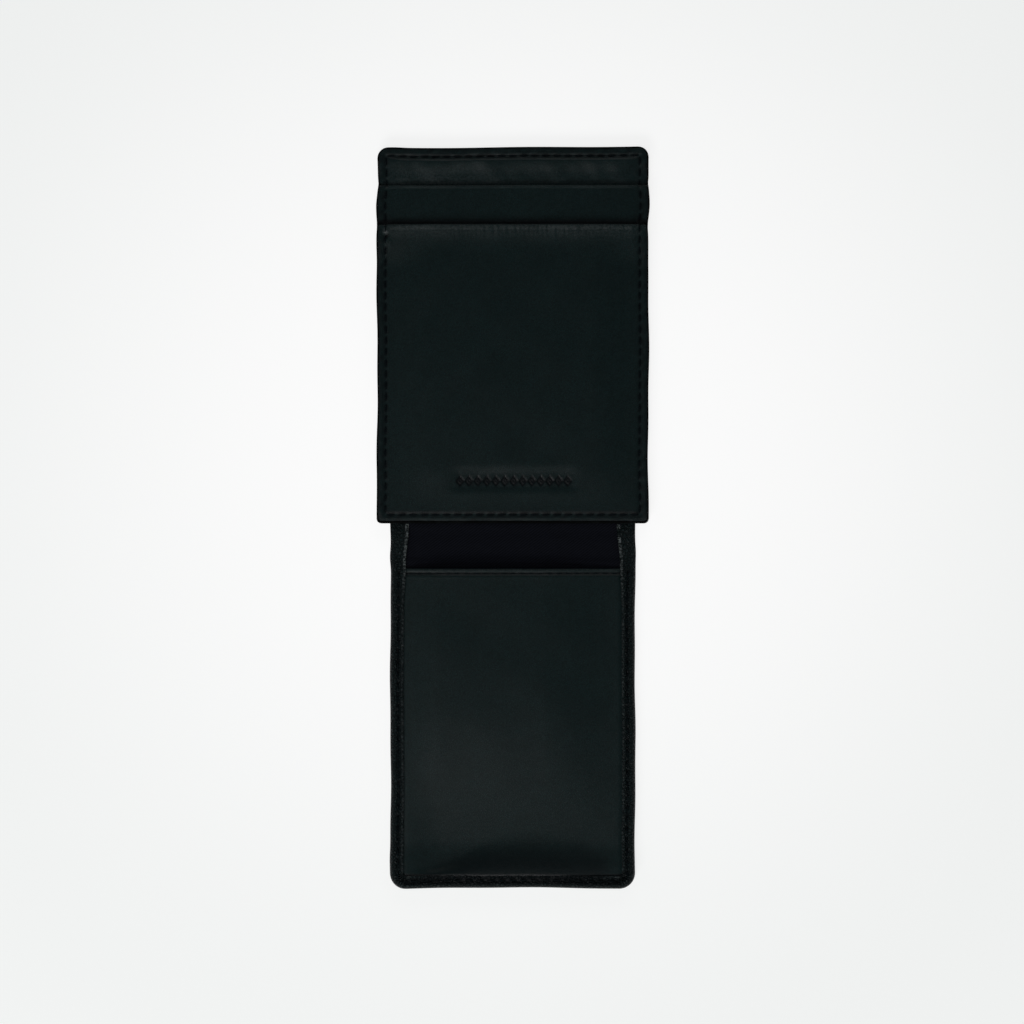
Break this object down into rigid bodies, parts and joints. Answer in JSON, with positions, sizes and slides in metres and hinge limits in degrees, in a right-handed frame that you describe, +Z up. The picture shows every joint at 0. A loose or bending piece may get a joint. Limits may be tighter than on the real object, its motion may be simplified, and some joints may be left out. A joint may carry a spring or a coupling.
{
  "type": "bifold wallet",
  "caption": "Slim bifold wallet lying open: a wide card half with stepped card slots and a narrower folding half with a full-length pocket.",
  "frame": {"origin": "centre of the open wallet's footprint, on the surface it lies on", "axes": "+Z up from the surface, out of the wallet's inside face; +Y along the wallet from the pocket half to the card half; +X across it, to the right when the card half is at the top"},
  "size_m": [0.07, 0.191, 0.0059],
  "materials": {
    "inner_leather": "smooth black leather with a soft sheen, fine creases and black painted cut edges",
    "grained_leather": "black leather with a fine pebbled grain, thinned where it is turned over an edge",
    "twill": "very dark navy twill lining cloth, matte",
    "board": "brown bonded leather stiffener board, hidden",
    "thread": "black waxed sewing thread"
  },
  "bodies": {
    "card_half": {"card_cover": "grained_leather", "card_board": "board", "flap_tail": "grained_leather", "card_back_panel": "inner_leather", "slot_a_facing": "inner_leather", "slot_a_lining": "twill", "slot_a_lining_hem": "twill", "slot_a_margin_left": "inner_leather", "slot_a_margin_right": "inner_leather", "slot_b_panel": "inner_leather", "slot_b_margin_bottom": "inner_leather", "slot_b_margin_left": "inner_leather", "slot_b_margin_right": "inner_leather", "card_seam_thread": "thread"},
    "spine": {"spine_cover": "grained_leather", "spine_lining": "twill", "spine_turned_edge_left": "grained_leather", "spine_turned_edge_right": "grained_leather"},
    "pocket_half": {"pocket_cover": "grained_leather", "pocket_board": "board", "pocket_lining": "twill", "pocket_panel": "inner_leather", "pocket_margin_bottom": "inner_leather", "pocket_margin_left": "inner_leather", "pocket_margin_right": "inner_leather", "turned_edge_end": "grained_leather", "turned_edge_left": "grained_leather", "turned_edge_right": "grained_leather", "pocket_seam_thread": "thread", "pocket_hem_thread": "thread"}
  },
  "joints": [
    {"name": "spine_fold", "type": "hinge", "parent": "card_half", "child": "spine", "pos_m": [0, -0.0023, 0.0012], "axis": [-1, 0, 0], "range_deg": [0, 90]},
    {"name": "pocket_fold", "type": "hinge", "parent": "spine", "child": "pocket_half", "pos_m": [0, -0.0113, 0.0012], "axis": [-1, 0, 0], "range_deg": [0, 90]}
  ],
  "couplings": [
    {"joint": "pocket_fold", "follows": "spine_fold", "ratio": 1}
  ]
}
